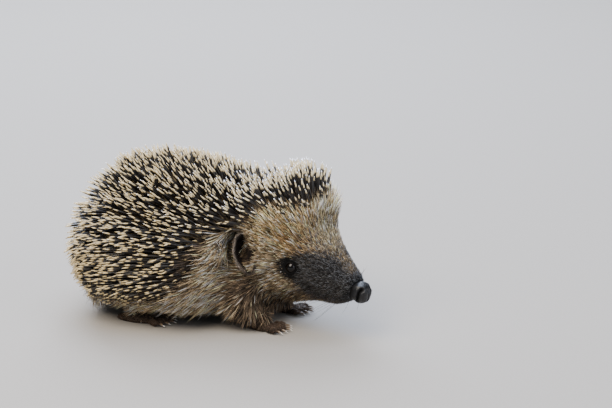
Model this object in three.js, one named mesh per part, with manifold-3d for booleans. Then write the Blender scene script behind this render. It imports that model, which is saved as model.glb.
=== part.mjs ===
// A young European hedgehog, life size, as a museum model: crouched on its four feet, spines half
// raised, head low and turned a little to its right. Every solid reaches out to the tips of the
// coat, so the body is as wide and high as the animal looks with its spines and fur on.
//
// Millimetres. +X is the way the body faces, +Y its left, +Z up, and the soles stand on Z = 0.
// The whole is shaped from closed lofts, and parted by thin cuts where a person names its parts.
import * as THREE from "three";
import { mergeVertices } from "three/addons/utils/BufferGeometryUtils.js";
import Module from "manifold-3d";

// ---- Driving dimensions ----
const GAP = 0.3; // between neighbouring parts

const BODY = { back: -84, front: 31, width: 102, belly: 4.5 }; // rump's spine tips to the throat
const RUMP_PLANE = -52; // the spiny mantle is parted here ...
const CROWN_PLANE = 8; // ... and here
const CHEST_PLANE = -4; // the fur below it is parted here

const HEAD_AT = [23, 1.4, 39]; // between the ears
const HEAD_YAW = THREE.MathUtils.degToRad(-20); // turned to its right
const HEAD_PITCH = THREE.MathUtils.degToRad(5); // nose down

// From here to the feet, sizes are in the head's own frame: x from the nape to the nose.
const HEAD = { back: -15, tip: 59 };
const CROWN = { back: -36, front: 33.5, half: 29, middle: 22, above: 21, below: 15 }; // spiny brow
const NECK_PLANE = -7;
const MUZZLE_PLANE = 36;
const EYE = { x: 25.5, y: 14.8, z: -0.6, radius: 3.1 };
const EAR = { x: -0.5, y: 24.5, z: 3, height: 20, width: 13, depth: 7, wall: 1.3 };
const NOSE = { x: 59.6, z: -8.2, length: 5, halfWidth: 5.4, halfHeight: 5.8, nostril: 1.4 };
const JAW = { back: 6, tip: 53, half: 12.5, tipHalf: 4, deep: 7.5, tipDeep: 2.6, thick: 2.4 };

const FORE_SOLE = { x: 26, y: 17, length: 14, width: 10.5, height: 8, toe: 5.2, claw: 3.6, splay: 9 };
const HIND_SOLE = { x: -40, y: 25, length: 26, width: 10.5, height: 8, toe: 5.6, claw: 3.8, splay: 12 };
const ANKLE_HEIGHT = 5; // the legs end and the feet begin
const TAIL = { x: -66, length: 20, radius: 3.3, height: 8.5, droop: 4 };

// ---- Helpers ----
const wasm = await Module();
wasm.setup();

// A smooth curve through [position, value] pairs that never overshoots them.
function profile(...stations) {
  const slopes = stations.map(([x, y], i) => {
    const before = stations[i - 1];
    const after = stations[i + 1];
    if (!before) return (after[1] - y) / (after[0] - x);
    if (!after) return (y - before[1]) / (x - before[0]);
    const rise = (y - before[1]) / (x - before[0]);
    const next = (after[1] - y) / (after[0] - x);
    return rise * next <= 0 ? 0 : (2 * rise * next) / (rise + next);
  });
  return (at) => {
    const last = stations.length - 1;
    const x = Math.min(Math.max(at, stations[0][0]), stations[last][0]);
    let i = 0;
    while (i < last - 1 && x > stations[i + 1][0]) i++;
    const [x0, y0] = stations[i];
    const [x1, y1] = stations[i + 1];
    const step = x1 - x0;
    const t = (x - x0) / step;
    const s = 1 - t;
    return (
      y0 * s * s * (1 + 2 * t) +
      y1 * t * t * (1 + 2 * s) +
      step * s * t * (slopes[i] * s - slopes[i + 1] * t)
    );
  };
}

// A closed skin round a run of sections. place(u, angle) gives a point, for u from 0 to 1; each end
// closes to one point. Angle 0 is the +Y side and a quarter turn is up.
function loft(place, along, around) {
  const points = [place(0, 0)];
  for (let i = 1; i < along; i++)
    for (let j = 0; j < around; j++) points.push(place(i / along, (2 * Math.PI * j) / around));
  points.push(place(1, 0));
  const end = points.length - 1;
  const ring = (i, j) => 1 + (i - 1) * around + (j % around);
  const faces = [];
  for (let j = 0; j < around; j++) {
    faces.push(0, ring(1, j + 1), ring(1, j));
    for (let i = 1; i < along - 1; i++) {
      faces.push(ring(i, j), ring(i, j + 1), ring(i + 1, j));
      faces.push(ring(i, j + 1), ring(i + 1, j + 1), ring(i + 1, j));
    }
    faces.push(end, ring(along - 1, j), ring(along - 1, j + 1));
  }
  return new THREE.BufferGeometry().setFromPoints(points).setIndex(faces);
}

// One point of a section that is an egg: half wide, with its own reach above and below its middle.
// A roundness of 2 gives an ellipse, and more gives a squarer section. Flare widens the upper half.
function sectionPoint(x, middle, half, above, below, angle, roundness = 2, flare = 0) {
  const power = 2 / roundness;
  const c = Math.cos(angle);
  const s = Math.sin(angle);
  const reach = s > 0 ? above : below;
  const widen = 1 + flare * Math.max(0, s) ** 1.5;
  return new THREE.Vector3(
    x,
    half * widen * Math.sign(c) * Math.abs(c) ** power,
    middle + reach * Math.sign(s) * Math.abs(s) ** power,
  );
}

function solid(geometry, matrix) {
  const bare = geometry.clone();
  bare.deleteAttribute("normal");
  bare.deleteAttribute("uv");
  if (matrix) bare.applyMatrix4(matrix);
  const merged = mergeVertices(bare, 1e-4);
  return new wasm.Manifold(
    new wasm.Mesh({
      numProp: 3,
      vertProperties: merged.attributes.position.array,
      triVerts: new Uint32Array(merged.index.array),
    }),
  );
}

function geometryOf(manifold) {
  const mesh = manifold.getMesh();
  return new THREE.BufferGeometry()
    .setAttribute("position", new THREE.BufferAttribute(mesh.vertProperties.slice(), 3))
    .setIndex(new THREE.BufferAttribute(mesh.triVerts.slice(), 1));
}

function at(x, y, z, rotation = [0, 0, 0]) {
  return new THREE.Matrix4()
    .makeRotationFromEuler(new THREE.Euler(...rotation, "ZYX"))
    .setPosition(x, y, z);
}

// A box between two corners, to keep or cut one side of a plane.
function slab(low, high) {
  const size = high.map((value, i) => value - low[i]);
  const middle = high.map((value, i) => (value + low[i]) / 2);
  return solid(new THREE.BoxGeometry(...size), at(...middle));
}

const FAR = 200;
const inFrontOf = (x) => slab([x, -FAR, -FAR], [FAR, FAR, FAR]);
const behind = (x) => slab([-FAR, -FAR, -FAR], [x, FAR, FAR]);
const above = (z) => slab([-FAR, -FAR, z], [FAR, FAR, FAR]);
const below = (z) => slab([-FAR, -FAR, -FAR], [FAR, FAR, z]);
const ball = (a, b, c, round, high) => new THREE.SphereGeometry(1, round, high).scale(a, b, c);

// ---- Body: spiny mantle above, furry chest and belly below. u runs from the rump to the throat ----
const bodyMiddle = profile([0, 30], [0.2, 34], [0.5, 37], [0.75, 38], [1, 36]);
const bodyHalf = profile(
  [0, 0],
  [0.1, 0.38],
  [0.2, 0.65],
  [0.3, 0.85],
  [0.46, 1],
  [0.58, 0.94],
  [0.65, 0.78],
  [0.72, 0.59],
  [0.8, 0.51],
  [0.9, 0.4],
  [1, 0],
);
const bodyAbove = profile(
  [0, 0],
  [0.1, 19],
  [0.2, 34.5],
  [0.3, 46],
  [0.4, 50.5],
  [0.5, 51],
  [0.6, 48.5],
  [0.7, 45],
  [0.8, 36],
  [0.9, 24],
  [1, 0],
);
const bodyBelow = profile(
  [0, 0],
  [0.1, 14],
  [0.2, 24],
  [0.3, 29.5],
  [0.5, 32.5],
  [0.8, 33.5],
  [0.92, 26],
  [1, 0],
);

const bodyTurn = profile([0, 0], [0.6, 0], [0.72, 3], [0.8, 5], [0.9, 4], [1, 0]); // stretched side
const bodyFlare = profile([0, 0], [0.55, 0], [0.68, 0.3], [0.8, 0.4], [1, 0]); // shoulders

function bodyLoft(along = 18, around = 28) {
  const centre = (BODY.front + BODY.back) / 2;
  const reach = (BODY.front - BODY.back) / 2;
  const place = (u, angle) => {
    const point = sectionPoint(
      centre - reach * Math.cos(Math.PI * u),
      bodyMiddle(u),
      (BODY.width / 2) * bodyHalf(u),
      bodyAbove(u),
      bodyBelow(u),
      angle,
      Math.sin(angle) > 0 ? 2.1 : 2.5, // the underside is flatter than the back
      bodyFlare(u),
    );
    point.y += bodyTurn(u);
    return point;
  };
  return solid(loft(place, along, around));
}

// The spiny crown sits over the nape and forehead like a cap.
function crownLoft(grow = 0, along = 14, around = 20) {
  const centre = (CROWN.front + CROWN.back) / 2;
  const reach = (CROWN.front - CROWN.back) / 2 + grow;
  const place = (u, angle) => {
    const swell = Math.sin(Math.PI * u) ** 0.66;
    return sectionPoint(
      centre - reach * Math.cos(Math.PI * u),
      CROWN.middle,
      (CROWN.half + grow) * swell,
      (CROWN.above + grow) * swell,
      (CROWN.below + grow) * swell,
      angle,
      2.1,
    );
  };
  return solid(loft(place, along, around));
}

// ---- Head: forehead, cheeks and muzzle ----
const headTop = profile(
  [-15, 14],
  [0, 28],
  [14, 36],
  [24, 35],
  [31, 28],
  [36, 18.5],
  [43, 12],
  [50, 6],
  [59, 0],
);
const headBottom = profile(
  [-15, -12],
  [0, -22],
  [14, -21.5],
  [28, -17.5],
  [42, -14.6],
  [52, -13.4],
  [59, -12.4],
);
const headHalf = profile(
  [-15, 17],
  [0, 23.5],
  [10, 21.5],
  [20, 17.8],
  [27, 15.8],
  [35, 14.4],
  [45, 11.2],
  [52, 8.6],
  [59, 5.6],
);
const headMiddle = profile([-15, 0], [0, -3], [20, -4.5], [40, -6.2], [59, -7.2]);
const headFlare = profile([-15, 0.3], [0, 0.9], [12, 1.2], [20, 1.2], [28, 0.9], [36, 0.2], [48, 0]);

function headLoft(grow = 0, along = 18, around = 20) {
  const centre = (HEAD.back + HEAD.tip) / 2;
  const reach = (HEAD.tip - HEAD.back) / 2 + grow;
  const place = (u, angle) => {
    const x = centre - reach * Math.cos(Math.PI * u);
    const end = Math.min(1, Math.sin(Math.PI * u) / 0.42) ** 0.5; // rounds both ends
    const middle = headMiddle(x);
    return sectionPoint(
      x,
      middle,
      (headHalf(x) + grow) * end,
      (headTop(x) - middle + grow) * end,
      (middle - headBottom(x) + grow) * end,
      angle,
      2.05,
      headFlare(x),
    );
  };
  return solid(loft(place, along, around));
}

function jawLoft(grow = 0, along = 12, around = 16) {
  const place = (u, angle) => {
    const x = JAW.back - grow + (JAW.tip - JAW.back + 2 * grow) * (0.5 - 0.5 * Math.cos(Math.PI * u));
    const swell = Math.sin(Math.PI * u) ** 0.55;
    return sectionPoint(
      x,
      headBottom(x) + 1.2,
      (THREE.MathUtils.lerp(JAW.half, JAW.tipHalf, u ** 0.8) + grow) * swell,
      (JAW.thick + grow) * swell,
      (THREE.MathUtils.lerp(JAW.deep, JAW.tipDeep, u) + grow) * swell,
      angle,
    );
  };
  return solid(loft(place, along, around));
}

// The ear is half an egg shell, open to the front and the outside. Its room is the whole half egg.
function earSolids(side) {
  const turn = at(EAR.x, side * EAR.y, EAR.z, [
    THREE.MathUtils.degToRad(side * -14),
    THREE.MathUtils.degToRad(-14),
    THREE.MathUtils.degToRad(side * 52),
  ]);
  const egg = (grow) =>
    solid(ball(EAR.depth + grow, EAR.width / 2 + grow, EAR.height / 2 + grow, 12, 8));
  const scoop = egg(-EAR.wall).translate(EAR.wall * 1.6, 0, 0);
  const shell = egg(0).intersect(behind(EAR.depth * 0.1)).subtract(scoop);
  return { shell: shell.transform(turn.elements), room: egg(GAP).transform(turn.elements) };
}

// ---- The lower edge of the spines, seen from the side: low on the flank, then rising behind the
// ear and over the eye to the forehead. Everything under it is fur. ----
const SPINE_EDGE = [
  [-FAR, 12],
  [-62, 12],
  [-25, 14.5],
  [-6, 21],
  [4, 28],
  [9, 42],
  [12, 56],
  [22, 62],
  [36, 66],
  [52, 73],
  [FAR, 100],
];

function furRegion(shift) {
  const outline = new THREE.Shape();
  outline.moveTo(-FAR, -FAR);
  SPINE_EDGE.forEach(([x, z]) => outline.lineTo(x, z + shift));
  outline.lineTo(FAR, -FAR);
  const sheet = new THREE.ExtrudeGeometry(outline, { depth: 2 * FAR, bevelEnabled: false });
  return solid(sheet.rotateX(Math.PI / 2).translate(0, FAR, 0));
}

// ---- Feet: a flat sole, five toes that fan out, a claw on each ----
function footSolid({ x, y, length, width, height, toe, claw, splay }, side) {
  let foot = solid(ball(length / 2, width / 2, height, 10, 6), at(x, side * y, 0));
  for (let i = -2; i <= 2; i++) {
    const turn = THREE.MathUtils.degToRad(i * splay);
    const root = at(x + length * 0.4 - Math.abs(i) * 1.1, side * y + i * width * 0.2, 1.7, [0, 0, turn]);
    const knuckle = ball(toe / 2 + 1, 1.35, 1.9, 6, 4).translate(toe / 2, 0, 0);
    const nail = new THREE.ConeGeometry(0.75, claw, 4)
      .rotateZ(-Math.PI / 2 - 0.22)
      .translate(toe + claw / 2 + 0.1, 0, -0.1);
    foot = foot.add(solid(knuckle, root)).add(solid(nail, root));
  }
  return foot.intersect(above(0)).intersect(below(ANKLE_HEIGHT - g));
}

// A limb is a tapered capsule from the body down to the ankle.
function limbSolid(from, to, thick, thin, steps = 6, around = 10) {
  const start = new THREE.Vector3(...from);
  const along = new THREE.Vector3(...to).sub(start);
  const length = along.length();
  const turn = new THREE.Quaternion().setFromUnitVectors(new THREE.Vector3(0, 1, 0), along.normalize());
  const shape = [];
  for (let i = 0; i <= steps; i++) {
    const t = i / steps;
    const round = Math.sin(Math.PI * Math.min(0.96, 0.04 + t)) ** 0.35;
    const radius = THREE.MathUtils.lerp(thick, thin, t) * round;
    shape.push(new THREE.Vector2(i % steps ? radius : 0, t * length));
  }
  return solid(
    new THREE.LatheGeometry(shape, around),
    new THREE.Matrix4().compose(start, turn, new THREE.Vector3(1, 1, 1)),
  );
}

function tailSolid(grow = 0, along = 8, around = 10) {
  const place = (u, angle) => {
    const round = Math.sin(Math.PI * Math.min(0.98, 0.03 + u * 0.95)) ** 0.4;
    const radius = (TAIL.radius * (1 - 0.75 * u) + grow) * round;
    return sectionPoint(
      TAIL.x + grow - (TAIL.length + 2 * grow) * u,
      TAIL.height - TAIL.droop * u * u,
      radius,
      radius,
      radius,
      -angle,
    );
  };
  return solid(loft(place, along, around));
}

// ---- Put together ----
const g = GAP / 2;
const material = (color, roughness) => new THREE.MeshStandardMaterial({ color, roughness, metalness: 0 });
const quills = material("#6d604c", 0.7);
const fur = material("#86705a", 0.9);
const faceFur = material("#4a423b", 0.9);
const skin = material("#5b4d48", 0.75);
const leather = material("#1d1b1c", 0.35);
const glossy = material("#0b0807", 0.05);

const hedgehog = new THREE.Group();
const head = new THREE.Group();
head.position.set(...HEAD_AT);
head.rotation.set(0, HEAD_PITCH, HEAD_YAW, "ZYX");
head.updateMatrix();
hedgehog.add(head);
const inBody = (manifold) => manifold.transform(head.matrix.elements);
const inHead = (manifold) => manifold.transform(head.matrix.clone().invert().elements);

function add(name, manifold, finish, group = hedgehog) {
  const mesh = new THREE.Mesh(geometryOf(manifold), finish);
  mesh.name = name;
  group.add(mesh);
}

const sides = [
  ["left", 1],
  ["right", -1],
];

// Head and body overlap as forms. Above the spine edge they are one mantle; below it the head wins.
let ears = null;
for (const [word, side] of sides) {
  const { shell, room } = earSolids(side);
  add(`ear_${word}`, shell, skin, head);
  ears = ears ? ears.add(room) : room;
}
const earRoom = inBody(ears);
const headForm = headLoft().add(crownLoft()).subtract(ears);
const headRoom = inBody(headLoft(GAP).add(crownLoft(GAP)).add(jawLoft(GAP)));
const bodyForm = bodyLoft().intersect(above(BODY.belly));
const mantle = bodyForm.add(inBody(headForm)).subtract(furRegion(g)).subtract(earRoom);
add("mantle_rump", mantle.intersect(behind(RUMP_PLANE - g)), quills);
add("mantle_back", mantle.intersect(inFrontOf(RUMP_PLANE + g)).intersect(behind(CROWN_PLANE - g)), quills);
add("mantle_crown", mantle.intersect(inFrontOf(CROWN_PLANE + g)), quills);

// The furry underside leaves room for the head, the legs and the tail.
let underside = bodyForm
  .intersect(furRegion(-g))
  .subtract(headRoom)
  .subtract(earRoom)
  .subtract(tailSolid(GAP));
for (const [word, side] of sides) {
  const arm = (grow) =>
    limbSolid([10, side * 21, 25], [FORE_SOLE.x - 3, side * FORE_SOLE.y, 1], 13 + grow, 5.2 + grow);
  const thigh = (grow) =>
    limbSolid([-32, side * 26, 24], [HIND_SOLE.x - 4, side * HIND_SOLE.y, 1], 12 + grow, 5.8 + grow);
  add(`forefoot_${word}`, footSolid(FORE_SOLE, side), skin);
  add(`hindfoot_${word}`, footSolid(HIND_SOLE, side), skin);
  for (const [name, limb] of [
    ["foreleg", arm],
    ["hindleg", thigh],
  ]) {
    const shown = limb(0).intersect(above(ANKLE_HEIGHT + g)).intersect(furRegion(-g));
    add(`${name}_${word}`, shown.subtract(headRoom), fur);
    underside = underside.subtract(limb(GAP));
  }
}

// Head parts, each kept in the head's own frame.
let face = headForm.intersect(inHead(furRegion(-g)));
for (const [word, side] of sides) {
  const place = at(EYE.x, side * EYE.y, EYE.z);
  const eyeball = ball(EYE.radius, EYE.radius, EYE.radius, 10, 8);
  add(`eye_${word}`, solid(eyeball, place), glossy, head);
  face = face.subtract(solid(eyeball.clone().scale(1.15, 1.15, 1.15), place));
}
const nosePad = (grow) =>
  solid(
    ball(NOSE.length + grow, NOSE.halfWidth + grow, NOSE.halfHeight + grow, 12, 8),
    at(NOSE.x, 0, NOSE.z),
  );
const nostrils = [1, -1].map((side) =>
  solid(
    ball(NOSE.nostril * 1.3, NOSE.nostril * 0.75, NOSE.nostril, 6, 4),
    at(NOSE.x + NOSE.length * 0.72, side * NOSE.halfWidth * 0.55, NOSE.z - 0.3),
  ),
);
face = face.subtract(nosePad(GAP));
add("nose", nosePad(0).subtract(nostrils[0]).subtract(nostrils[1]), leather, head);
add("muzzle", face.intersect(inFrontOf(MUZZLE_PLANE + g)), faceFur, head);
add("head", face.intersect(inFrontOf(NECK_PLANE + g)).intersect(behind(MUZZLE_PLANE - g)), fur, head);
add("neck", face.intersect(behind(NECK_PLANE - g)), fur, head);
add("lower_jaw", jawLoft().subtract(headLoft(GAP)), faceFur, head);
add("belly", underside.intersect(behind(CHEST_PLANE - g)), fur);
add("chest", underside.intersect(inFrontOf(CHEST_PLANE + g)), fur);
add("tail", tailSolid(), skin);

// Stand the origin on the floor under the middle of the whole.
hedgehog.updateMatrixWorld(true);
const extent = new THREE.Box3().setFromObject(hedgehog, true);
const middle = extent.getCenter(new THREE.Vector3());
hedgehog.position.set(-middle.x, -middle.y, -extent.min.z);

export default hedgehog;
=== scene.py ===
# %% [markdown]
# # A life-size hedgehog
# A museum model of a hedgehog is a smooth skin with thousands of hard quills and fine hairs set in
# it. This lesson follows the same order: measure the solids, place the camera, make one skin a
# little inside them, then the eyes, nose and claws, and last the coat, which reaches back out to
# the solids' outline. Every length below is in millimetres until it is given to Blender.

# %% Load the measured solids
import math

import bpy
import numpy as np
from mathutils import Euler, Matrix, Vector
from mathutils.kdtree import KDTree


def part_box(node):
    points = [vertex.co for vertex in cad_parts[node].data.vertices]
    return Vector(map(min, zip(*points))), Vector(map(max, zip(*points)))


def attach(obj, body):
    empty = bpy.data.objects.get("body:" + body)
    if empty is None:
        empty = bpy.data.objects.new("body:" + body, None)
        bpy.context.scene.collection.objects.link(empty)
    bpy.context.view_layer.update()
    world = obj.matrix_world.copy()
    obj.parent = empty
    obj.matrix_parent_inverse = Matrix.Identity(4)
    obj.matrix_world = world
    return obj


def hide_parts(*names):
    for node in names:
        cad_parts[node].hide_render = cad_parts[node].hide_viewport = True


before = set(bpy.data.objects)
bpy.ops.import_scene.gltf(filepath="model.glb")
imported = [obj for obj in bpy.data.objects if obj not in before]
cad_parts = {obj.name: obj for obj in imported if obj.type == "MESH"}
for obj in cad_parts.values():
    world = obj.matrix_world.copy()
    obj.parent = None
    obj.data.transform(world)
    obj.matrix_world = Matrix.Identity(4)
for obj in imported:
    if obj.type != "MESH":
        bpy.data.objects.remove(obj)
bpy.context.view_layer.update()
bpy.ops.object.select_all(action="DESELECT")
MM = 0.001

# %% [markdown]
# ## Camera, lights and floor
# The animal crouches, so the camera is only 15 degrees above the floor, 20 degrees forward of
# square to its right side. A long lens from well back keeps the head and the rump at one scale.

# %% Camera
AZIMUTH, ELEVATION = math.radians(20), math.radians(15)
DISTANCE = 1.428
LENS, SENSOR = 161.5, 36.0
AIM_RIGHT, AIM_UP = 0.0405, 0.0578  # metres from the origin to the middle of the picture

to_right = np.array([math.cos(AZIMUTH), math.sin(AZIMUTH), 0.0])
to_camera = np.array([math.sin(AZIMUTH), -math.cos(AZIMUTH), 0.0]) * math.cos(ELEVATION)
to_camera[2] = math.sin(ELEVATION)
to_top = np.cross(to_camera, to_right)
aim = AIM_RIGHT * to_right + AIM_UP * to_top
bpy.ops.object.camera_add()
camera = bpy.context.object
camera.data.lens, camera.data.sensor_width = LENS, SENSOR
turn = Matrix((to_right, to_top, to_camera)).transposed()
camera.matrix_world = Matrix.Translation(aim + DISTANCE * to_camera) @ turn.to_4x4()
bpy.context.scene.camera = camera
print("camera stands at", camera.matrix_world.translation, "m with a lens of", LENS, "mm")


# %% [markdown]
# Dark quills need broad, soft light or they turn to black needles. A large lamp high on the left
# models the form and puts the bright spot in the eye. A weak one on the right opens the shadows,
# one behind lights the tips, and one overhead lays a sky-like sheen on the back.

# %% Lights
DAYLIGHT = 0.42  # how strongly the world shines


def linear(hex_colour):
    """An sRGB hex value as the linear numbers that Blender mixes."""
    channels = np.array([int(hex_colour[i:i + 2], 16) for i in (1, 3, 5)]) / 255
    return np.where(channels <= 0.04045, channels / 12.92, ((channels + 0.055) / 1.055) ** 2.4)


def lamp(name, right, top, near, size, power, hex_colour):
    """A square soft lamp, placed in metres as the camera sees it, and turned to the animal."""
    place = Vector(aim + right * to_right + top * to_top + near * to_camera)
    bpy.ops.object.light_add(type="AREA", location=place)
    light = bpy.context.object
    light.name = name
    light.data.size, light.data.energy = size, power
    light.data.color = linear(hex_colour)
    light.rotation_euler = (place - Vector(aim)).to_track_quat("Z", "Y").to_euler()


lamp("key_lamp", -0.55, 0.95, 1.0, 1.0, 39, "#fff4e4")
lamp("fill_lamp", 1.0, 0.25, 0.9, 0.9, 7, "#eef3ff")
lamp("rim_lamp", -0.2, 1.0, -0.7, 0.9, 40, "#dfeaff")
lamp("sky_lamp", 0.1, 1.4, 0.25, 1.2, 32, "#d6e4ff")
world = bpy.data.worlds.new("studio")
bpy.context.scene.world = world
world.use_nodes = True
daylight = world.node_tree.nodes["Background"].inputs
daylight["Color"].default_value = (*linear("#dfe5ee"), 1)
daylight["Strength"].default_value = DAYLIGHT

# %% [markdown]
# ## Small helpers
# Blender's operators work on what is selected, so `only` comes before each of them. The coat has
# far too many points to visit one by one, so positions are read into numpy arrays and back.


# %% Helpers for meshes
def only(piece):
    """Selects this piece alone and makes it the active one."""
    bpy.ops.object.select_all(action="DESELECT")
    piece.select_set(True)
    bpy.context.view_layer.objects.active = piece


def modify(piece, kind, **settings):
    """Adds one modifier and applies it."""
    modifier = piece.modifiers.new(kind.title(), kind)
    for key, value in settings.items():
        setattr(modifier, key, value)
    only(piece)
    bpy.ops.object.modifier_apply(modifier=modifier.name)


def edit(piece, *steps):
    """Runs edit-mode operators, each given as (operator, settings), on the whole mesh."""
    only(piece)
    bpy.ops.object.mode_set(mode="EDIT")
    bpy.ops.mesh.select_all(action="SELECT")
    for operator, settings in steps:
        operator(**settings)
    bpy.ops.object.mode_set(mode="OBJECT")


def join(pieces, name):
    """Joins pieces into the first one."""
    only(pieces[0])
    for piece in pieces[1:]:
        piece.select_set(True)
    bpy.ops.object.join()
    pieces[0].name = pieces[0].data.name = name
    return pieces[0]


# %% Helpers for points
def read(items, key, width, kind=np.float32):
    """One property of many mesh items as a table of numbers."""
    values = np.empty(len(items) * width, kind)
    items.foreach_get(key, values)
    return values.reshape(-1, width) if width > 1 else values


def spots_of(piece):
    """The points of a mesh in mm."""
    return read(piece.data.vertices, "co", 3).astype(float) / MM


def move_to(piece, spots):
    """Moves the points of a mesh to new places, in mm."""
    piece.data.vertices.foreach_set("co", (spots * MM).astype(np.float32).ravel())
    piece.data.update()


def normals_of(piece):
    return read(piece.data.vertex_normals, "vector", 3).astype(float)


def edges_of(piece):
    return read(piece.data.edges, "vertices", 2, np.int32)


def relax(values, edges, times, share=0.5):
    """Moves each point's values toward the mean of its neighbours', several times."""
    first, second = edges.T
    count = len(values)
    neighbours = np.bincount(first, minlength=count) + np.bincount(second, minlength=count)
    neighbours = np.maximum(neighbours, 1)[:, None]
    for _ in range(times):
        total = [np.bincount(first, row[second], count) + np.bincount(second, row[first], count)
                 for row in values.T]
        values = values + share * (np.stack(total, 1) / neighbours - values)
    return values


def paint_points(piece, name, values):
    """Stores one colour for each point."""
    opaque = np.pad(values, ((0, 0), (0, 1)), constant_values=1).astype(np.float32)
    layer = piece.data.color_attributes.new(name, "FLOAT_COLOR", "POINT")
    layer.data.foreach_set("color", opaque.ravel())


def store(piece, name, values):
    """Stores one number for each point."""
    piece.data.attributes.new(name, "FLOAT", "POINT").data.foreach_set("value", values.astype(np.float32))


# %% Helpers for numbers
def ease(low, high, values):
    """0 at low, 1 at high and an S between them; low may be the larger one."""
    t = np.clip((values - low) / (high - low), 0, 1)
    return t * t * (3 - 2 * t)


def unit(vectors):
    return vectors / np.maximum(np.linalg.norm(vectors, axis=-1, keepdims=True), 1e-9)


def along_skin(vectors, normals):
    """The part of each direction that lies on the skin."""
    return unit(vectors - normals * (vectors * normals).sum(-1, keepdims=True))


def gap_to_line(spots, line):
    """The distance from each spot to a bent line."""
    nearest = np.full(len(spots), np.inf)
    for start, end in zip(line[:-1], line[1:]):
        run = end - start
        share = np.clip((spots - start) @ run / (run @ run), 0, 1)
        nearest = np.minimum(nearest, np.linalg.norm(spots - start - share[:, None] * run, axis=1))
    return nearest


def gap_to_nearer(spots, places):
    """The distance from each spot to the nearer of two places."""
    return np.minimum(*(np.linalg.norm(spots - at, axis=1) for at in places))


def one_side(spots):
    """Both sides folded onto the left one."""
    return np.stack([spots[:, 0], np.abs(spots[:, 1]), spots[:, 2]], 1)


# %% [markdown]
# ## Where things are
# The head is turned toward the right and tipped a little down, so its own parts are simplest in
# its own directions: x to the nose, y to the left and z up. The two eye solids fix where it is.
# The spines end along a line that is seen from the side: low on the flank, up behind the ear and
# forward over the brow. That one line divides spines from fur, on the skin and in the coat.

# %% The head's own directions, and the edge of the spines
SIDES = {"left": 1, "right": -1}
HEAD_YAW, HEAD_PITCH = math.radians(-20), math.radians(5)
EYE_AT = np.array([25.5, 14.8, -0.6])  # of the left eye, in the head's directions
EYE_RADIUS = 3.1
EAR_AT = np.array([3.0, 24.4, 2.6])
NOSE_AT = np.array([57.3, 0.0, -7.9])
NOSE_HALF = np.array([7.0, 5.5, 6.0])

head_turn = np.array(Euler((0, HEAD_PITCH, HEAD_YAW), "XYZ").to_matrix())
eye_centres = {side: np.array(sum(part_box(f"eye_{side}"), Vector())) / 2 / MM for side in SIDES}
head_start = sum(eye_centres.values()) / 2 - head_turn @ (EYE_AT * [1, 0, 1])


def to_head(spots):
    return (spots - head_start) @ head_turn


def from_head(spots):
    return np.asarray(spots) @ head_turn.T + head_start


ear_centres = [from_head(EAR_AT * [1, sign, 1]) for sign in SIDES.values()]


def eye_gap(spots):
    """The distance from each spot to the middle of the nearer eye."""
    return gap_to_nearer(spots, eye_centres.values())


def ear_gap(spots):
    """The distance from each spot to the middle of the nearer ear."""
    return gap_to_nearer(spots, ear_centres)


SPINE_EDGE = np.array([
    (-99, 12), (-61, 12), (-28, 14.5), (-12, 20), (-5, 28), (-2, 40), (4, 51), (12, 58), (23, 62.5),
    (37, 66), (53, 73), (99, 95),
])  # x and z, from the rump to the brow


def above_edge(spots):
    """How far each spot is above the edge of the spines, in mm; in the fur it is below zero."""
    flat = spots[:, [0, 2]]
    return gap_to_line(flat, SPINE_EDGE) * np.sign(flat[:, 1] - np.interp(flat[:, 0], *SPINE_EDGE.T))


# %% [markdown]
# ## How the coat grows
# One function says what grows at any spot of the skin: how long it is, how far it stands up and
# which way it lies. The skin uses it to know how deep to sit below the outline, and the coat uses
# it to reach the outline again, so the two always agree. Quills lie nearly flat on the flank and
# stand up on the back and crown. Fur is a millimetre or two long on the muzzle, and about a
# centimetre on the brow and the body.

# %% Outward from the body
def broad_out(spots):
    """Outward from the middle line of the body, as if it were one smooth hill."""
    middle = np.stack([np.clip(spots[:, 0], -50, 34), 0 * spots[:, 0], 36 + 0 * spots[:, 0]], 1)
    return unit(spots - middle)


# %% Length and lift of the quills
def quills_of(spots, normals, inside):
    """Length in mm and lift in radians of the quills."""
    stand = unit(0.35 * normals + 0.65 * broad_out(spots))
    up = ease(0.0, 0.95, stand[:, 2])
    rear = ease(0.3, 0.8, -stand[:, 0])
    length = 11 + 6.5 * ease(0, 12, inside) + 2.0 * up * ease(0, 12, inside)
    lift = 20 + 40 * up + 12 * up * ease(-10, 25, spots[:, 0]) + 9 * rear * (1 - up)
    return length, np.radians(lift * (0.75 + 0.25 * ease(0, 10, inside)))


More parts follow.
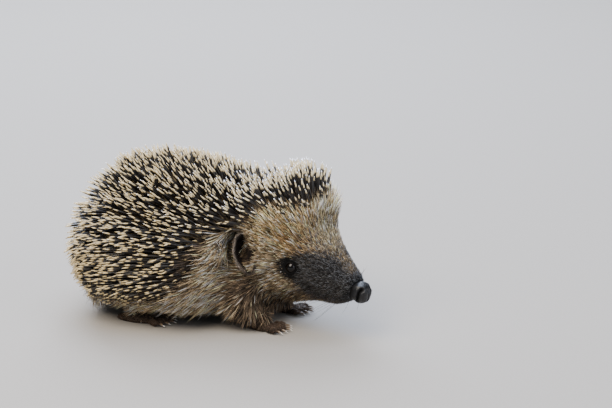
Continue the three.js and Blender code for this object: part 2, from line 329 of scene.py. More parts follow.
# %% Length and lift of the whole coat
def coat_of(spots, normals, inside):
    """Length and lift of quills and of fur, and how much a spot is spiny."""
    x, z = spots[:, 0], spots[:, 2]
    head = to_head(spots)
    quill_length, quill_lift = quills_of(spots, normals, inside)

    face = ease(-2, 10, head[:, 0]) * ease(-26, -14, head[:, 2])
    brow = ease(3, 15, head[:, 2]) * ease(38, 26, head[:, 0])
    face_length = np.interp(head[:, 0], [6, 16, 26, 34, 42, 50, 60], [8.5, 7, 4.6, 3, 2.2, 1.7, 1.2])
    face_length += 4.5 * brow
    face_lift = np.interp(head[:, 0], [10, 30, 45], [21, 20, 14]) + 14 * brow
    low = ease(16, 6, z)
    body_length = 10.0 - 5.0 * low + 2.5 * ease(-2, 8, inside)
    body_lift = 20 - 6 * low + 5 * ease(10, 25, x)
    chin = ease(6, 18, head[:, 0]) * ease(30, 24, np.abs(head[:, 1])) * ease(-34, -26, head[:, 2])
    body_length += (3.6 - body_length) * chin
    body_lift += (15 - body_lift) * chin
    fur_length = body_length + (face_length - body_length) * face
    fur_lift = body_lift + (face_lift - body_lift) * face
    fur_length = np.minimum(fur_length, 0.8 + 0.6 * np.maximum(eye_gap(spots) - EYE_RADIUS - 0.5, 0))
    before_ear = ease(EAR_AT[0] - 5, EAR_AT[0] + 1, head[:, 0])
    trimmed = 3.2 + 3.0 * ease(-2, -7, head[:, 2]) + 0.6 * np.maximum(ear_gap(spots) - 10, 0)
    trimmed = np.minimum(fur_length, trimmed)
    fur_length += before_ear * (trimmed - fur_length)
    return dict(
        spiny=ease(-1.5, 2.5, inside), inside=inside, face=face, brow=brow,
        quill_length=quill_length, quill_lift=quill_lift,
        fur_length=fur_length, fur_lift=np.radians(fur_lift),
    )


# %% [markdown]
# The depth of the coat is how high its tips stand over the skin: length times the sine of the
# lift. Which way it lies is a direction on the skin. Real coats lie away from the nose, since
# the animal pushes forward through grass and leaves.

# %% Depth of the coat, and which way it lies
SPREAD = math.radians(6)  # quills differ in lift by about this much


def depth_of(coat):
    """How deep the skin sits below the outline, in mm."""
    quills = coat["quill_length"] * np.sin(coat["quill_lift"] + SPREAD)
    fur = 0.85 * coat["fur_length"] * np.sin(coat["fur_lift"]) + 0.15
    return fur + (quills - fur) * coat["spiny"]


def lie_of(spots, normals, inside):
    """Which way the coat lies: away from the nose on the head, to the rear and down elsewhere."""
    x, y, z = spots.T
    head = to_head(spots)
    body = np.stack([-np.ones(len(x)), 0.004 * y, -0.06 - 0.5 * ease(30, 8, z)], 1)
    rear = ease(0.35, 0.9, -normals[:, 0])[:, None]
    body = body + rear * (np.stack([0 * x, 0.02 * y, -0.9 + 0 * x], 1) - 0.4 * body)
    chest = (ease(5, 22, x) * ease(-12, -20, head[:, 2]))[:, None]
    body = body + chest * (np.array([-0.6, 0, -0.8]) - body)
    from_nose = unit(head - NOSE_AT * [1.0, 0.0, 0.7])
    cheek = ease(4, -10, head[:, 2]) * ease(44, 20, head[:, 0])
    from_nose[:, 2] -= 0.45 * cheek
    from_nose[:, 2] += 0.55 * ease(4, 16, head[:, 2]) * ease(40, 24, head[:, 0])
    face = (ease(-4, 12, head[:, 0]) * ease(-22, -12, head[:, 2]) * ease(6, -2, inside))[:, None]
    return along_skin(body + face * (from_nose @ head_turn.T - body), normals)


# %% [markdown]
# A quill is rooted behind the place where its tip shows. The spines' edge is where tips end, so
# each root has to ask how far inside that edge its own tip would be.

# %% Where a quill's tip ends
EAR_CLEAR = 11.0  # no quill grows nearer than this to the middle of an ear
LENGTHENING = 13.0  # nor starts further than this outside the edge


def inside_of_tips(spots, normals):
    """How far above the edge of the spines a quill would end that is rooted at each spot."""
    at_root = above_edge(spots)
    inside = at_root
    for _ in range(2):
        length, lift = quills_of(spots, normals, inside)
        tips = spots + normals * (length * np.sin(lift))[:, None]
        tips += lie_of(spots, normals, inside) * (length * np.cos(lift))[:, None]
        inside = np.minimum(above_edge(tips), at_root + LENGTHENING)
    return np.minimum(inside, ear_gap(spots) - EAR_CLEAR)


# %% [markdown]
# ## The skin
# A real skin has no seams, so copies of all the flesh solids are joined and rebuilt as one mesh by
# Blender's voxel remesh, with balls to fill the eye sockets and ear hollows. The new mesh is moved
# inward by the coat's depth, in small steps with a little smoothing between them, so that it never
# folds over itself.

# %% One mesh from the flesh solids
FLESH = ["head", "muzzle", "lower_jaw", "neck", "chest", "belly", "mantle_crown", "mantle_back",
         "mantle_rump", "foreleg_left", "foreleg_right", "hindleg_left", "hindleg_right", "tail"]
EAR_HALF = np.array([7.0, 6.6, 11.2])
EAR_TURN = np.radians([-14, -14, 52])  # roll, pitch and yaw of the left ear
EAR_HOLLOW = np.array([8.5, 7.5, 9.5])  # half the size of the egg that fills its place in the head
COARSE_VOXEL = 1.2
SWELL = 0.5  # each solid grows by this much, in mm, so that the thin cuts between them close


def ball(at, half, segments=32, rings=20):
    """A ball or egg in mm, with its place and size in its mesh."""
    bpy.ops.mesh.primitive_uv_sphere_add(segments=segments, ring_count=rings, radius=1)
    piece = bpy.context.object
    piece.scale = np.asarray(half) * MM
    piece.location = np.asarray(at) * MM
    bpy.ops.object.transform_apply(location=True, rotation=True, scale=True)
    return piece


copies = []
for name in FLESH:
    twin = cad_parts[name].copy()
    twin.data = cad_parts[name].data.copy()
    twin.parent = None
    for key in list(twin.keys()):
        del twin[key]
    bpy.context.collection.objects.link(twin)
    copies.append(twin)
for side, sign in SIDES.items():
    copies.append(ball(eye_centres[side], [EYE_RADIUS + 0.5] * 3))
    copies.append(ball(from_head(EAR_AT * [1, sign * 0.72, 1] + [0, 0, -1]), EAR_HOLLOW))
skin = join(copies, "skin")
skin.data.materials.clear()
edit(skin, (bpy.ops.mesh.remove_doubles, {"threshold": 1e-5}))
move_to(skin, spots_of(skin) + SWELL * normals_of(skin))
modify(skin, "REMESH", mode="VOXEL", voxel_size=COARSE_VOXEL * MM)
only(skin)
bpy.ops.mesh.separate(type="LOOSE")
islands = sorted(bpy.context.selected_objects, key=lambda piece: -len(piece.data.vertices))
skin = islands[0]
for piece in islands[1:]:
    bpy.data.objects.remove(piece)
skin.name = skin.data.name = "skin"
print("rebuilt as one mesh of", len(skin.data.vertices), "points;", len(islands) - 1, "islands dropped")

# %% Inward by the coat's depth
ROUNDS, STEPS_EACH = 4, 4

for turn_number in range(ROUNDS):
    spots, edges = spots_of(skin), edges_of(skin)
    outward = unit(relax(normals_of(skin), edges, 12))
    depth = depth_of(coat_of(spots, outward, above_edge(spots)))[:, None]
    depth = relax(depth, edges, 12) + SWELL
    softness = 0.5 * np.clip(depth / 8, 0.12, 1)
    for _ in range(STEPS_EACH):
        spots = relax(spots, edges, 5, softness)
        move_to(skin, spots)
        ahead = unit(relax(normals_of(skin), edges, 4))
        spots = spots - ahead * depth / ROUNDS / STEPS_EACH
    move_to(skin, spots)
    modify(skin, "REMESH", mode="VOXEL", voxel_size=COARSE_VOXEL * MM)
    print("inward", turn_number + 1, "of", ROUNDS, "coat depth up to", depth.max().round(1), "mm")

# %% [markdown]
# ## Ears
# A hedgehog's ear is a short round dish that opens forward. An egg is cut open, given a wall, drawn
# in at its foot and folded at its front edge, and set in the side of the head. It becomes part of
# the skin, with fur over its foot.

# %% Two ears
EAR_WALL = 0.85
SORT_ALONG = np.array([0.683, 0.297, 0.667])  # no two points are level along this way


def in_order(piece):
    """Sorts points and triangles by place, since Blender gives a ball's in a new order each run."""
    places = spots_of(piece)
    order = np.argsort(places @ SORT_ALONG)
    corners = np.argsort(order)[read(piece.data.polygons, "vertices", 3, np.int32)]
    turned = corners.argmin(1)[:, None] + [0, 1, 2]  # each triangle starts at its first point
    corners = np.take_along_axis(corners, turned % 3, 1)
    corners = corners[np.lexsort(corners.T[::-1])]
    piece.data = bpy.data.meshes.new("ordered")
    piece.data.from_pydata(places[order] * MM, [], corners.tolist())


def make_ear(side):
    """An open dish in its own directions: x out of the opening, z up."""
    sign = SIDES[side]
    piece = ball((0, 0, 0), EAR_HALF, 48, 32)
    cut = {"plane_co": (0.9 * MM, 0, 0), "plane_no": (1, 0, 0), "clear_outer": True}
    edit(piece, (bpy.ops.mesh.bisect, cut))
    spots = spots_of(piece)
    low = ease(-3, -11, spots[:, 2])
    spots[:, 1] *= 1 - 0.25 * low  # drawn in at its foot
    spots[:, 0] = spots[:, 0] * (1 - 0.2 * low) - 1.0 * low
    rim = ease(-2.5, 0.9, spots[:, 0])
    front = ease(0, -6, spots[:, 1] * sign)
    # the front edge folds over, the rim waves a little, and low ribs cross the inside
    spots[:, 1] += sign * rim * (1.3 * front + 0.3 * np.sin(0.8 * spots[:, 2]))
    spots[:, 0] += rim * (0.5 * np.sin(0.55 * spots[:, 2] + 0.6) - 0.8 * front)
    spots[:, 0] += 0.45 * np.sin(1.5 * spots[:, 2]) * ease(4.5, 1.5, np.abs(spots[:, 1])) * (1 - rim)
    move_to(piece, spots)
    modify(piece, "SOLIDIFY", thickness=EAR_WALL * MM, offset=-1)
    modify(piece, "SUBSURF", levels=1, render_levels=1)
    modify(piece, "TRIANGULATE")
    in_order(piece)
    spots, normals = spots_of(piece), normals_of(piece)
    store(piece, "ear", np.ones(len(spots)))
    store(piece, "ear_rim", ease(-3.4, -0.6, spots[:, 0]) * ease(-10, -5, spots[:, 2]))
    store(piece, "ear_inside", ease(0.0, -0.4, (normals * unit(spots)).sum(1)))
    own_turn = Euler(EAR_TURN * [sign, 1, sign], "XYZ").to_matrix()
    move_to(piece, spots @ (head_turn @ np.array(own_turn)).T + from_head(EAR_AT * [1, sign, 1]))
    return piece


ears = {side: make_ear(side) for side in SIDES}
print("ears:", [len(ear.data.polygons) for ear in ears.values()], "triangles")

# %% [markdown]
# ## Feet
# Each foot is a flat sole with five toes that fan out. They are blunt eggs pressed flat at the
# floor, and the second voxel remesh melts them into the legs.

# %% Four feet, and the second rebuild
# x and y are the middle of the sole, and splay is the degrees from one toe to the next
FEET = {
    "forefoot": dict(x=27.0, y=17.0, length=14.0, width=10.5, toe=5.2, claw=3.6, splay=9, ankle=24.0),
    "hindfoot": dict(x=-39.0, y=25.0, length=26.0, width=10.5, toe=5.6, claw=3.8, splay=12, ankle=-41.0),
}
FINE_VOXEL = 0.55


def toe_places(foot, side):
    """Where each toe starts, and its direction on the floor."""
    sign = SIDES[side]
    for step in range(-2, 3):
        angle = math.radians(step * foot["splay"])
        start = np.array([foot["x"] + foot["length"] * 0.4 - abs(step) * 1.1,
                          sign * foot["y"] + step * foot["width"] * 0.2, 1.9])
        yield start, np.array([math.cos(angle), math.sin(angle), 0.0]), angle


def turn_flat(spots, angle):
    """Turns spots about the vertical."""
    return spots @ np.array(Matrix.Rotation(angle, 3, "Z")).T


toes = []
for foot in FEET.values():
    for side, sign in SIDES.items():
        sole = ball((foot["x"], sign * foot["y"], 1.4), (foot["length"] / 2, foot["width"] / 2.3, 2.6))
        ankle = ball((foot["ankle"], sign * foot["y"] * 0.97, 5.0), (5.0, 4.4, 5.6))
        toes += [sole, ankle]
        for start, ahead, angle in toe_places(foot, side):
            toe = ball(start + ahead * foot["toe"] * 0.5, (foot["toe"] / 2 + 1, 1.25, 1.75), 16, 10)
            move_to(toe, turn_flat(spots_of(toe) - start, angle) + start)
            toes.append(toe)
skin = join([skin, *toes], "skin")
modify(skin, "REMESH", mode="VOXEL", voxel_size=FINE_VOXEL * MM)
spots, edges = spots_of(skin), edges_of(skin)
spots = relax(spots, edges, 6)
spots[:, 2] = np.maximum(spots[:, 2], 0.0)
move_to(skin, spots)
print("fine skin has", len(spots), "points")

# %% [markdown]
# ## The face
# The head is what people look at first. Its larger forms are in the solids already; here the fine
# skin gets a brow over each eye, a hollow in front of it, cheeks, whisker pads and the line of the
# mouth. Points on the trunk are thinned out first, since quills will cover it.

# %% Thin the trunk, keep the head and feet fine
SKIN_SHARE = 0.40  # of the triangles that are kept
TRUNK_FROM = 6.0  # behind the ears
FEET_TO = 9.0  # above the floor

head_spots = to_head(spots)
trunk = (head_spots[:, 0] < TRUNK_FROM) & (spots[:, 2] > FEET_TO)
group = skin.vertex_groups.new(name="trunk")
group.add(np.nonzero(trunk)[0].tolist(), 1.0, "REPLACE")
modify(skin, "DECIMATE", ratio=SKIN_SHARE, vertex_group="trunk", vertex_group_factor=8)
modify(skin, "TRIANGULATE")


def refine(piece, chosen):
    """Cuts the chosen faces finer and turns what results into triangles."""
    only(piece)
    piece.data.polygons.foreach_set("select", chosen)
    bpy.ops.object.mode_set(mode="EDIT")
    bpy.ops.mesh.subdivide(number_cuts=1, smoothness=0)
    bpy.ops.mesh.select_all(action="SELECT")
    bpy.ops.mesh.quads_convert_to_tris()
    bpy.ops.mesh.select_all(action="DESELECT")
    bpy.ops.object.mode_set(mode="OBJECT")


bpy.context.tool_settings.mesh_select_mode = (False, False, True)
for reach in (8.5, 6.0):  # cut finer twice near the eyes
    refine(skin, eye_gap(read(skin.data.polygons, "center", 3) / MM) < reach)
print("skin has", len(skin.data.polygons), "triangles")

# %% Brow, cheek, whisker pad and mouth
# name: place in the head's directions (left side), reach, height (below zero is a hollow)
FORMS = {
    "brow": ((25, 14.0, 5.0), 5.0, 0.55),
    "cheek": ((19, 17.5, -12), 9.0, 0.8),
    "tear_hollow": ((31.5, 12.6, -1.6), 3.6, -0.7),
    "whisker_pad": ((49, 6.5, -10.0), 5.0, 0.55),
    "muzzle_end": ((55, 0.0, -6.5), 9.0, 1.1),
    "chin": ((46, 0.0, -15.5), 13.0, 2.3),
}
MOUTH = np.array([
    (58.5, 2.0, -13.4), (52, 6.6, -13.2), (42, 9.6, -14.4), (32, 11.2, -16.0), (25, 11.8, -17.5),
])


def mouth_gap(head):
    """The distance to the line of the mouth, from spots in the head's directions."""
    return gap_to_line(one_side(head), MOUTH)


spots, normals = spots_of(skin), normals_of(skin)
head_spots = to_head(spots)
rise = np.zeros(len(spots))
for place, reach, height in FORMS.values():
    rise += height * np.exp(-((one_side(head_spots) - place) ** 2).sum(1) / (0.5 * reach ** 2))
rise -= 1.0 * ease(1.3, 0.0, mouth_gap(head_spots))
move_to(skin, spots + rise[:, None] * normals)
print("the face rises by up to", rise.max().round(2), "mm and sinks by up to", -rise.min().round(2))

# %% [markdown]
# ## Eyelids
# The lids are the skin itself, drawn over the ball like a hood. Round each eye every point is moved
# along the way the eye looks: inside an almond opening it goes behind the ball's surface, at the
# opening's edge it stands just proud of the ball, and outside it falls into fine folds.

# %% Lids drawn over the balls
LID_PROUD = 0.36
LID_REACH = 3.05  # how far from the middle the lid follows the ball
OPENING = np.array([2.75, 2.35])  # half its width and half its height, in mm


def eye_axes(side):
    """Forward, upward and outward directions of an eye."""
    sign = SIDES[side]
    outward = head_turn @ unit(np.array([0.34, sign, 0.10]))
    upward = unit(np.cross(outward, head_turn @ np.array([1.0, 0, 0.12])) * sign)
    forward = np.cross(upward, outward) * sign
    return forward, upward, outward


spots = spots_of(skin)
for side in SIDES:
    axes = np.stack(eye_axes(side), 1)
    arm = (spots - eye_centres[side]) @ axes
    across, height, out = arm.T
    aside = np.hypot(across, height)
    narrow = 1 - 0.25 * np.clip(across / OPENING[0], -1.2, 1.2) ** 2  # drawn in at the corners
    opening = np.hypot(across / OPENING[0], height / OPENING[1] / narrow)
    lid = np.sqrt((EYE_RADIUS + LID_PROUD) ** 2 - np.minimum(aside, LID_REACH) ** 2)
    angle = np.arctan2(height, across)
    folds = np.sin((aside - LID_REACH) * 6.5 + 1.4 * np.sin(angle + 0.6) + 0.5 * np.sin(3 * angle))
    folds *= 0.12 + 0.07 * np.sin(2 * angle + 1)
    lid += folds * ease(2.9, 3.2, aside) * ease(5.2, 3.9, aside)
    shaped = out + ease(5.4, 3.3, aside) * (lid - out)
    behind = np.sqrt((EYE_RADIUS - 0.8) ** 2 - np.minimum(aside, EYE_RADIUS - 0.9) ** 2)
    shaped = behind + (shaped - behind) * ease(0.90, 1.12, opening)
    near = (aside < 6) & (out > -0.5) & (out < 6)
    arm[:, 2] = np.where(near, shaped, out)
    spots = arm @ axes.T + eye_centres[side]
    print(f"{side} lids: {near.sum()} points drawn over the ball")
move_to(skin, spots)

# %% [markdown]
# ## Colours of skin and coat
# The skin and the coat have to carry the same markings, or bare stripes show wherever the fur
# parts. So the colours are painted once, on the skin's points, and every hair and quill reads the
# colour at its root. Some of them are painted shade: under the ear and the cheek, in the crease of
# the mouth and in the ear's hollow.

# %% Markings
# neck_shade, the dark of the mouth's crease and ear_inside are painted shade
MARKINGS = {
    "mantle": "#2a231d", "flank": "#cfb590", "neck_shade": "#3d3128", "cheek": "#a08c70",
    "brow": "#c8ab7e", "ridge": "#d0bd92", "rufous": "#9c7248", "mask": "#212225",
    "bridge": "#6b5c45", "throat": "#6d5d4c", "belly": "#93816a", "legs": "#6b5b4a",
    "feet": "#6a584a", "eye_ring": "#0c0b0b", "tail": "#5a4b3f", "mouth_crease_shade": "#1f1c1b", "ear_back": "#84776a",
    "ear_inside": "#2a1f1b", "grizzle": "#8d9095", "ear_rim": "#a3968b",
}
colours = {name: linear(value) for name, value in MARKINGS.items()}
# x and z of the dark mask's upper edge, in the head's directions
MASK_TOP = np.array([
    (20, -2), (25, 4), (29, 7.2), (34, 8.2), (39, 8.6), (43, 8.2), (47, 6.8), (51, 4.2), (54, 1.0), (60, -3),
])
MASK_REAR = np.array([(-17, 32), (-7, 25), (-1, 20)])  # z and x: it slants down and forward


def markings(spots, inside):
    """The colour of the animal at each spot, with painted shade under the ear and the cheek, in the crease
    of the mouth and in the ear's hollow.
    """
    x, y, z = spots.T
    head = to_head(spots)
    hx, hy, hz = one_side(head).T
    paint = np.tile(colours["flank"], (len(x), 1))

    def lay(name, amount):
        nonlocal paint
        paint = paint + amount[:, None] * (colours[name] - paint)

    lay("belly", ease(14, 7, z))
    lay("throat", ease(8, 22, x) * ease(-10, -18, hz))
    face = ease(2, 12, hx) * ease(-24, -16, hz)
    lay("cheek", face)
    # painted shade under the ear, between it and the shoulder
    lay("neck_shade", 0.9 * np.exp(-((hx - 4) ** 2 / 40 + (hz + 13) ** 2 / 70)) * ease(8, 14, hy))
    lay("brow", ease(4, 12, hz) * ease(4, 14, hx) * ease(40, 30, hx))
    lay("ridge", 0.8 * ease(8, 2, hy) * ease(6, 14, hz) * face)
    lay("rufous", 0.6 * np.exp(-((hx - 27) ** 2 / 60 + (hz - 12) ** 2 / 24)) * ease(5, 9, hy))
    lay("bridge", ease(34, 48, hx) * ease(-5, -1, hz))
    line, behind = np.interp(hx, *MASK_TOP.T), np.interp(hz, *MASK_REAR.T)
    mask = ease(line + 2.2, line - 1.6, hz) * ease(behind, behind + 5, hx) * ease(-17.5, -14.5, hz)
    on_bridge = ease(4.5, 2.5, hy) * ease(-6, -4, hz) * ease(56, 52, hx)
    lay("mask", 0.95 * mask * (1 - 0.85 * on_bridge))
    lay("mask", ease(7.8, 5.6, eye_gap(spots)))
    lay("eye_ring", ease(6.6, 5.2, eye_gap(spots)))
    lay("mask", ease(53, 57, hx))
    # painted shade under the cheek, toward the jaw
    lay("neck_shade", 0.5 * ease(-11.5, -14.5, hz) * ease(14, 24, hx) * face)
    lay("mantle", ease(-2.0, 3.0, inside))
    # painted shade in the crease of the mouth
    lay("mouth_crease_shade", ease(1.5, 0.5, mouth_gap(head)))
    # painted shade in the ear's hollow, on the skin before its opening
    lay("ear_inside", ease(7.5, 5.5, ear_gap(spots)) * ease(EAR_AT[0] - 4, EAR_AT[0] - 1, hx))
    low = ease(8.5, 5.0, z)
    lay("legs", low * ease(44, 34, np.abs(y)))
    lay("feet", ease(5.5, 3.5, z))
    lay("tail", ease(-66, -70, x) * ease(12, 9, z))
    return paint


# %% Unwrap and paint the skin
skin = join([skin, *ears.values()], "skin")
unwrap = {"angle_limit": math.radians(75), "island_margin": 0.002}
edit(skin, (bpy.ops.uv.smart_project, unwrap))
skin.data.uv_layers[0].name = "OFBake"
spots, normals = spots_of(skin), normals_of(skin)
skin.data.calc_loop_triangles()
faces = read(skin.data.loop_triangles, "vertices", 3, np.int32)
face_loops = read(skin.data.loop_triangles, "loops", 3, np.int32)
face_uv = read(skin.data.uv_layers["OFBake"].uv, "vector", 2)[face_loops]
on_ear, ear_rim, ear_inside = (read(skin.data.attributes[name].data, "value", 1).astype(float)
                               for name in ("ear", "ear_rim", "ear_inside"))
inside = inside_of_tips(spots, normals)
paint = markings(spots, inside)
# the inner faces of the ears are painted dark: painted shade in the cup
ear_paint = colours["ear_back"] + ear_inside[:, None] * (colours["ear_inside"] - colours["ear_back"])
ear_paint = ear_paint + ear_rim[:, None] * (colours["ear_rim"] - ear_paint)
paint = paint + on_ear[:, None] * (ear_paint - paint)
print("skin has", len(faces), "triangles")


# %% [markdown]
# ## Materials
# Nodes are added by one small function. Settings are the node's own choices, and inputs are either
# plain values or the sockets of other nodes.

# %% A function that adds a node
def add(material, kind, inputs=None, **settings):
    made = material.node_tree.nodes.new(kind)
    for key, value in settings.items():
        setattr(made, key, value)
    for key, value in (inputs or {}).items():
        if isinstance(value, bpy.types.NodeSocket):
            material.node_tree.links.new(value, made.inputs[key])
        else:
            made.inputs[key].default_value = value
    return made


def start_material(name):
    material = bpy.data.materials.new(name)
    material.use_nodes = True
    material.node_tree.nodes.clear()
    return material


def end_material(material, **inputs):
    """A Principled shader with these inputs, and the output."""
    inputs = {key.replace("_", " "): value for key, value in inputs.items()}
    shader = add(material, "ShaderNodeBsdfPrincipled", inputs)
    add(material, "ShaderNodeOutputMaterial", {"Surface": shader.outputs["BSDF"]})
    return material


def set_stops(ramp, stops):
    """Colour stops as {place: hex}; the ramp comes with two of its own."""
    elements = ramp.color_ramp.elements
    for place, value in stops.items():
        elements.new(place).color = (*linear(value), 1)
    elements.remove(elements[0])
    elements.remove(elements[-1])
    return ramp.outputs["Color"]


MULTIPLY = {"data_type": "RGBA", "blend_type": "MULTIPLY"}

# %% [markdown]
# ### Skin: bare hide, dry and fine grained
# Skin has a pebbled grain of nearly half a millimetre and soft, wide highlights. Its colour is
# the painted markings, made uneven by a slow noise.

# %% Skin material
hide = start_material("dry_hide")
place = add(hide, "ShaderNodeTexCoord").outputs["Object"]
painted = add(hide, "ShaderNodeAttribute", attribute_name="marking").outputs["Color"]
blotches = {"Vector": place, "Scale": 260.0, "Detail": 4.0}  # each about 4 mm across
blotches = add(hide, "ShaderNodeTexNoise", blotches).outputs["Fac"]
uneven = set_stops(add(hide, "ShaderNodeValToRGB", {"Fac": blotches}), {0.3: "#5c5c5c", 0.7: "#a6a6a6"})
toned = add(hide, "ShaderNodeMix", {0: 1.0, 6: painted, 7: uneven}, **MULTIPLY).outputs[2]
grain = add(hide, "ShaderNodeTexVoronoi", {"Vector": place, "Scale": 1 / (0.45 * MM)}).outputs["Distance"]
bump = add(hide, "ShaderNodeBump", {"Height": grain, "Strength": 0.35, "Distance": 0.1 * MM})
end_material(hide, Base_Color=toned, Roughness=0.75, Normal=bump.outputs["Normal"], Specular_IOR_Level=0.2)
skin.data.materials.append(hide)

# %% [markdown]
# ### Fur: matt keratin, dark at the root
# Each hair carries the marking at its root as its tint, and the number `along` runs from 0 at its
# root to 1 at its tip. Hairs are darker where they leave the skin, partly as their own banding and
# partly as painted shade inside the coat, and paler at the ends.

# %% Fur material
def fur_material(name, root, tip, roughness):
    """Fur whose marking is multiplied with a grey that runs from its root to its tip."""
    fur = start_material(name)
    tint = add(fur, "ShaderNodeAttribute", attribute_name="tint").outputs["Color"]
    along = add(fur, "ShaderNodeAttribute", attribute_name="along").outputs["Fac"]
    # dark at the root: partly the hair's own banding, partly painted shade inside the coat near the skin
    stops = {0.0: root, 0.5: "#a8a8a8", 1.0: tip}
    shade = set_stops(add(fur, "ShaderNodeValToRGB", {"Fac": along}), stops)
    mixed = add(fur, "ShaderNodeMix", {0: 1.0, 6: tint, 7: shade}, **MULTIPLY).outputs[2]
    return end_material(fur, Base_Color=mixed, Roughness=roughness, Specular_IOR_Level=0.22)


fur_finish = fur_material("body_fur", "#2c2c2c", "#ffffff", 0.5)
face_finish = fur_material("short_face_fur", "#404040", "#ffffff", 0.45)

# %% [markdown]
# ### Quills: hard banded keratin
# A quill is straw coloured at its foot, nearly black through its upper half and cream near its
# tip, and it shines like horn. The bands sit a little higher or lower from one quill to
# the next, which the number `shift` gives.

# %% Quill material
BANDS = {
    0.0: "#6e604a", 0.26: "#85765a", 0.38: "#33291f", 0.5: "#1c1917", 0.81: "#211e1c", 0.858: "#c9b58a",
    0.93: "#dccba1", 0.975: "#b59d6d", 1.0: "#4d3d2b",
}
quill_finish = start_material("banded_quill_keratin")
along = add(quill_finish, "ShaderNodeAttribute", attribute_name="along").outputs["Fac"]
shift = add(quill_finish, "ShaderNodeAttribute", attribute_name="shift").outputs["Fac"]
shifted = add(quill_finish, "ShaderNodeMath", {0: along, 1: shift}, operation="ADD").outputs["Value"]
banded = set_stops(add(quill_finish, "ShaderNodeValToRGB", {"Fac": shifted}), BANDS)
tint = add(quill_finish, "ShaderNodeAttribute", attribute_name="tint").outputs["Color"]
toned = add(quill_finish, "ShaderNodeMix", {0: 1.0, 6: banded, 7: tint}, **MULTIPLY).outputs[2]
end_material(quill_finish, Base_Color=toned, Roughness=0.34)

# %% [markdown]
# ## Eyes
# Each eye is a wet ball, almost all of it dark. A brown iris rings a pupil that is only a shade
# darker, and the clear front bulges a little. The number `gaze` is 0 at the middle of the eye and
# grows with the angle from it, so that iris and pupil are drawn on the ball itself.

# %% Eyes
eye_finish = start_material("wet_dark_eye")
gaze = add(eye_finish, "ShaderNodeAttribute", attribute_name="gaze").outputs["Fac"]
rings = {0.0: "#020202", 0.3: "#030202", 0.38: "#0b0604", 0.6: "#090504", 0.7: "#050404", 1.0: "#080606"}
iris = set_stops(add(eye_finish, "ShaderNodeValToRGB", {"Fac": gaze}), rings)
end_material(eye_finish, Base_Color=iris, Roughness=0.05, IOR=1.36)


def dress(piece, name, finish):
    """Names a smooth piece and gives it its material."""
    piece.data.shade_smooth()
    piece.name = piece.data.name = name
    piece.data.materials.append(finish)
    print(name, "has", len(piece.data.polygons), "faces of", finish.name)


for side in SIDES:
    eye = ball((0, 0, 0), [EYE_RADIUS] * 3, 48, 32)
    forward, upward, outward = eye_axes(side)
    turned = spots_of(eye) @ np.stack([forward, upward, outward])
    from_middle = np.arccos(np.clip(turned @ outward / EYE_RADIUS, -1, 1)) / (math.pi / 2)
    turned *= 1 + 0.045 * ease(0.5, 0.0, from_middle)[:, None]
    move_to(eye, turned + eye_centres[side])
    store(eye, "gaze", from_middle)
    edit(eye, (bpy.ops.mesh.normals_make_consistent, {"inside": False}))
    dress(eye, f"eyeball_{side}", eye_finish)
    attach(eye, "root")
    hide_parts(f"eye_{side}")

# %% [markdown]
# ## Nose
# The nose is a moist leathery pad that ends the muzzle and is finely pebbled. Its nostrils are
# commas that open forward and turn down along its sides, and a groove parts it below.

# %% Nose leather
nose_finish = start_material("moist_nose_leather")
place = add(nose_finish, "ShaderNodeTexCoord").outputs["Object"]
pebbles = {"Vector": place, "Scale": 1 / (0.42 * MM)}
pebbles = add(nose_finish, "ShaderNodeTexVoronoi", pebbles).outputs["Distance"]
bump = add(nose_finish, "ShaderNodeBump", {"Height": pebbles, "Strength": 0.7, "Distance": 0.13 * MM})
patches = {"Vector": place, "Scale": 420.0, "Detail": 3.0}  # each about 2.4 mm across
worn = add(nose_finish, "ShaderNodeTexNoise", patches).outputs["Fac"]
leather = set_stops(add(nose_finish, "ShaderNodeValToRGB", {"Fac": worn}), {0.3: "#08080a", 0.7: "#17181b"})
# where `pit` is high the leather is painted near black and made rougher: painted shade in the nostrils and
# the groove, and where the pad meets the fur
pit = add(nose_finish, "ShaderNodeAttribute", attribute_name="pit").outputs["Fac"]
leather_and_painted_shade = {0: pit, 6: leather, 7: (*linear("#030303"), 1)}
leather_and_painted_shade = add(nose_finish, "ShaderNodeMix", leather_and_painted_shade, data_type="RGBA").outputs[2]
damp = add(nose_finish, "ShaderNodeMapRange", {"Value": worn, "To Min": 0.2, "To Max": 0.4})
dull = {0: pit, 1: 0.5, 2: damp.outputs["Result"]}
dull = add(nose_finish, "ShaderNodeMath", dull, operation="MULTIPLY_ADD").outputs["Value"]
end_material(nose_finish, Base_Color=leather_and_painted_shade, Roughness=dull, Normal=bump.outputs["Normal"],
             Specular_IOR_Level=0.38)

# %% [markdown]
# The pad starts as a ball. Each of its points knows which way it lies from the middle, so the
# nostrils are a bent line of such directions, and the pad sinks in near that line.

# %% Nose pad
NOSTRIL = unit(np.array([(0.66, 0.56, 0.42), (0.57, 0.76, 0.20), (0.50, 0.83, -0.20), (0.38, 0.74, -0.56)]))
SQUARENESS = 2.3  # 2 would leave the pad an egg
# where on the left side, how high and how wide: wing of the nostril, pad below, cleft above, front
NOSE_FORMS = [
    ((0.16, 0.90, -0.40), 0.07, 0.30), ((0.80, 0.22, -0.58), 0.05, 0.28), ((0.92, 0.0, 0.34), -0.09, 0.20),
    ((0.90, 0.40, 0.10), 0.04, 0.26),
]
nose = ball((0, 0, 0), (1, 1, 1), 128, 84)
aimed = unit(spots_of(nose))
hole = gap_to_line(one_side(aimed), NOSTRIL)
hole /= 0.7 + 0.3 * ease(0.0, 0.5, aimed[:, 2])  # round above, a slit below
pit = ease(0.20, 0.05, hole)
swell = (np.abs(aimed) ** SQUARENESS).sum(1) ** (-1 / SQUARENESS) - 1
swell += -0.34 * pit + 0.03 * np.exp(-((hole - 0.30) / 0.10) ** 2)
groove = np.exp(-(aimed[:, 1] / 0.07) ** 2) * ease(0.35, -0.2, aimed[:, 2]) * ease(0.0, 0.5, aimed[:, 0])
